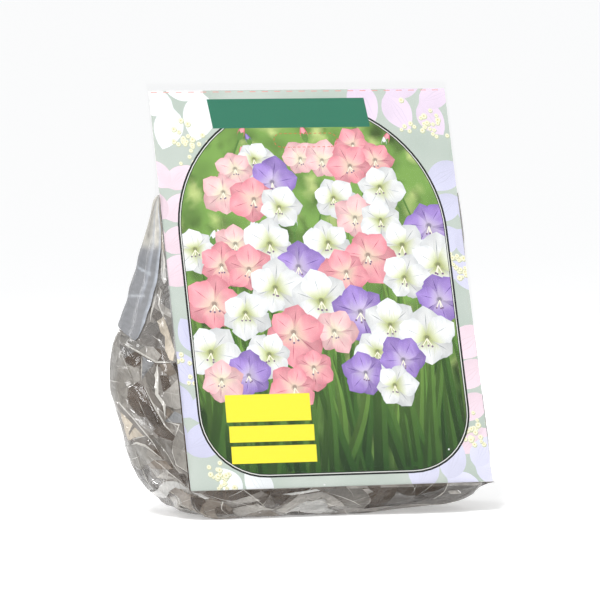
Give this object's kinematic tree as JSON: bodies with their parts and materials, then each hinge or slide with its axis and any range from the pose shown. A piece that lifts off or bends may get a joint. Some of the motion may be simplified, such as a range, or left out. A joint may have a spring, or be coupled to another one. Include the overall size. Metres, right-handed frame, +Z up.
{
  "type": "bag of gladiolus corms",
  "caption": "Clear film bag that stands on the gladiolus corms sealed inside it, behind a tall leaning picture card.",
  "frame": {"origin": "under the middle of the bag's bounding box, on the surface that it stands on", "axes": "+Z up, +X along the card's width to the right as seen from the front, +Y to the back"},
  "size_m": [0.1854, 0.0808, 0.204],
  "materials": {
    "clear_film": "crinkled clear polypropylene film, glossy",
    "printed_card": null,
    "corm_tunic": "dry, brown, fibrous corm tunic, matte"
  },
  "bodies": {
    "root": {"film_bag": "clear_film", "picture_card": "printed_card", "corm_01": "corm_tunic", "corm_02": "corm_tunic", "corm_03": "corm_tunic", "corm_04": "corm_tunic", "corm_05": "corm_tunic", "corm_06": "corm_tunic", "corm_07": "corm_tunic", "corm_08": "corm_tunic", "corm_09": "corm_tunic", "corm_10": "corm_tunic", "corm_11": "corm_tunic", "corm_12": "corm_tunic", "corm_13": "corm_tunic", "corm_14": "corm_tunic", "corm_15": "corm_tunic"}
  },
  "joints": []
}
